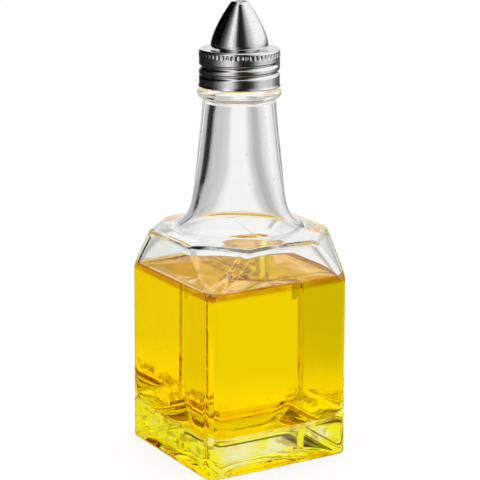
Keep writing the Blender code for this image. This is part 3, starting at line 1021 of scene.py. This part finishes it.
def elevated(tree, value, low, high):
    """0 below the lower elevation and 1 above the higher one, in degrees."""
    return ranged(tree, value, math.sin(math.radians(low)), math.sin(math.radians(high)))


def studio_world():
    """White behind the cruet. What glass and metal see round it has the dark flags of a studio."""
    world = bpy.data.worlds.new("studio")
    bpy.context.scene.world = world
    world.use_nodes = True
    tree = world.node_tree
    place = node(tree, "ShaderNodeTexCoord").outputs["Generated"]
    mapping = node(tree, "ShaderNodeMapping", vector_type="POINT")
    axes = axes_of(tree, fill(tree, mapping, Vector=place, Rotation=(0.0, 0.0, CAMERA_TURN)))
    angle = math_node(tree, "ARCTAN2", axes["X"], axes["Y"])
    share = math_node(tree, "ADD", math_node(tree, "DIVIDE", angle, math.tau), 0.5)
    up = axes["Z"]
    low = stripe_ramp(tree, share, LOW_MIRRORED_STRIPES)
    high = stripe_ramp(tree, share, HIGH_MIRRORED_STRIPES)
    mirrored = mixed(tree, elevated(tree, up, *LOW_TO_HIGH), low, high)
    mirrored = mixed(tree, elevated(tree, up, *WALLS_TO_CEILING), mirrored, CEILING)
    flags = stripe_ramp(tree, share, SEEN_THROUGH_STRIPES)
    seen_through = mixed(tree, elevated(tree, up, *FLAGS_TO_WALLS), flags, PALE_WALLS)
    started = elevated(tree, up, *UNDER_LAMP_STARTS)
    under_lamps = math_node(tree, "SUBTRACT", started, elevated(tree, up, *UNDER_LAMP_ENDS))
    seen_through = mixed(tree, under_lamps, seen_through, stripe_ramp(tree, share, UNDER_LAMP_STRIPES))
    ray = node(tree, "ShaderNodeLightPath")
    seen = mixed(tree, ray.outputs["Is Glossy Ray"], WHITE, mirrored)
    seen = mixed(tree, ray.outputs["Is Transmission Ray"], seen, seen_through)
    background = tree.nodes["Background"]
    tree.links.new(seen, background.inputs["Color"])
    background.inputs["Strength"].default_value = 1.0


# The yellow light that the oil throws on the table, by the share of its reach from the axis
OIL_GLOW_REACH = 0.105
OIL_GLOW = (
    (0.0, (1.0, 0.88, 0.06, 1.0)), (0.40, (1.0, 0.89, 0.10, 1.0)), (0.62, (1.0, 0.95, 0.50, 1.0)),
    (1.0, WHITE),
)

# How the table's light varies, as seen through the glass: two places in metres, and the level at each
GLOW_ALONG_Y = (0.03, -0.07, 0.99, 1.12)
GLOW_ALONG_X = (-0.06, 0.05, 0.74, 1.0)
GLOW_NEAR = (0.11, 0.05, 1.0, 1.30)

# The table itself. It shows to the eye by its own light in part, and is dark for rays that metal mirrors
TABLE_LIGHT = 0.75
TABLE_GREY = (0.3, 0.3, 0.3, 1.0)
MIRRORED_TABLE = (0.02, 0.02, 0.02, 1.0)
TABLE_RADIUS = 0.30
TABLE_SIDES = 96

# A hair of air under the base, as between any two hard things, so that light leaves the glass there
FILM_OF_AIR = 0.00005


def floor_finish():
    """A pale table that shows white to the eye and through glass, and still takes the cruet's shadow."""
    made, tree, shader = shader_material("pale table")
    ray = node(tree, "ShaderNodeLightPath")
    through = ray.outputs["Is Transmission Ray"]
    place = object_place(tree)
    axes = axes_of(tree, place)
    away = node(tree, "ShaderNodeVectorMath", operation="LENGTH")
    tree.links.new(place, away.inputs[0])
    reach = away.outputs["Value"]
    glow = ramp(tree, math_node(tree, "DIVIDE", reach, OIL_GLOW_REACH), OIL_GLOW)
    level = times(tree, ranged(tree, axes["Y"], *GLOW_ALONG_Y), ranged(tree, axes["X"], *GLOW_ALONG_X))
    level = times(tree, level, ranged(tree, reach, *GLOW_NEAR))
    seen = times(tree, ray.outputs["Is Camera Ray"], TABLE_LIGHT)
    seen = larger(tree, seen, times(tree, through, level))
    fill(
        tree, shader, Roughness=0.9, Specular_IOR_Level=0.0, Emission_Strength=seen,
        Base_Color=mixed(tree, ray.outputs["Is Glossy Ray"], TABLE_GREY, MIRRORED_TABLE),
        Emission_Color=mixed(tree, through, WHITE, glow),
    )
    return made


def studio():
    """The world and the table."""
    studio_world()
    bm = bmesh.new()
    under = Matrix.Translation((0.0, 0.0, -FILM_OF_AIR))
    bmesh.ops.create_circle(bm, cap_ends=True, segments=TABLE_SIDES, radius=TABLE_RADIUS, matrix=under)
    mesh = bpy.data.meshes.new("floor")
    bm.to_mesh(mesh)
    bm.free()
    floor = bpy.data.objects.new("floor", mesh)
    bpy.context.scene.collection.objects.link(floor)
    mesh.materials.append(floor_finish())


def wet_inside(glass, finish):
    """Gives the glass beside the oil the wetted finish.

    It misses the sunk middle of the floor, and takes in a strip of the outside at each upright corner.
    """
    glass.data.materials.append(finish)
    for face in glass.data.polygons:
        middle = face.center
        inner = max(abs(middle.x), abs(middle.y)) < WETTED_INSIDE
        if inner and cavity.floor - WETTED_BELOW_FLOOR < middle.z < OIL_LEVEL + MENISCUS_RISE:
            face.material_index = 1


def main():
    """Makes the pieces, each with its finish and body, and then the camera and the studio."""
    surface = moulded_surface_and_painted_light()
    marks = turned_marks()
    glass = make_glass_bottle()
    dress(glass, clear_glass_finish(surface))
    wet_inside(glass, wetted_glass_finish(surface))
    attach(glass, "bottle")
    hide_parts("glass_bottle")
    oil = make_oil()
    dress(oil, oil_finish())
    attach(oil, "bottle")
    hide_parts("oil_fill")
    cap = make_cap()
    dress(cap, steel_finish("rolled steel", marks, ROLLED_GRAIN, ROLLED_ROUGHNESS, ROLLED_RELIEF))
    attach(cap, "cap")
    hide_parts("screw_cap")
    cone = make_cone()
    dress(cone, steel_finish("spun steel", marks, SPUN_GRAIN, SPUN_ROUGHNESS, SPUN_RELIEF))
    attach(cone, "cap")
    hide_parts("pour_spout")
    dress(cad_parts["seal_ring"], liner_finish())
    photo_camera()
    studio()
    scene = bpy.context.scene
    scene.view_settings.view_transform = "Standard"
    # Light crosses the glass and the oil many times before it leaves them
    scene.cycles.max_bounces = 32
    scene.cycles.glossy_bounces = 24
    scene.cycles.transmission_bounces = 32


main()
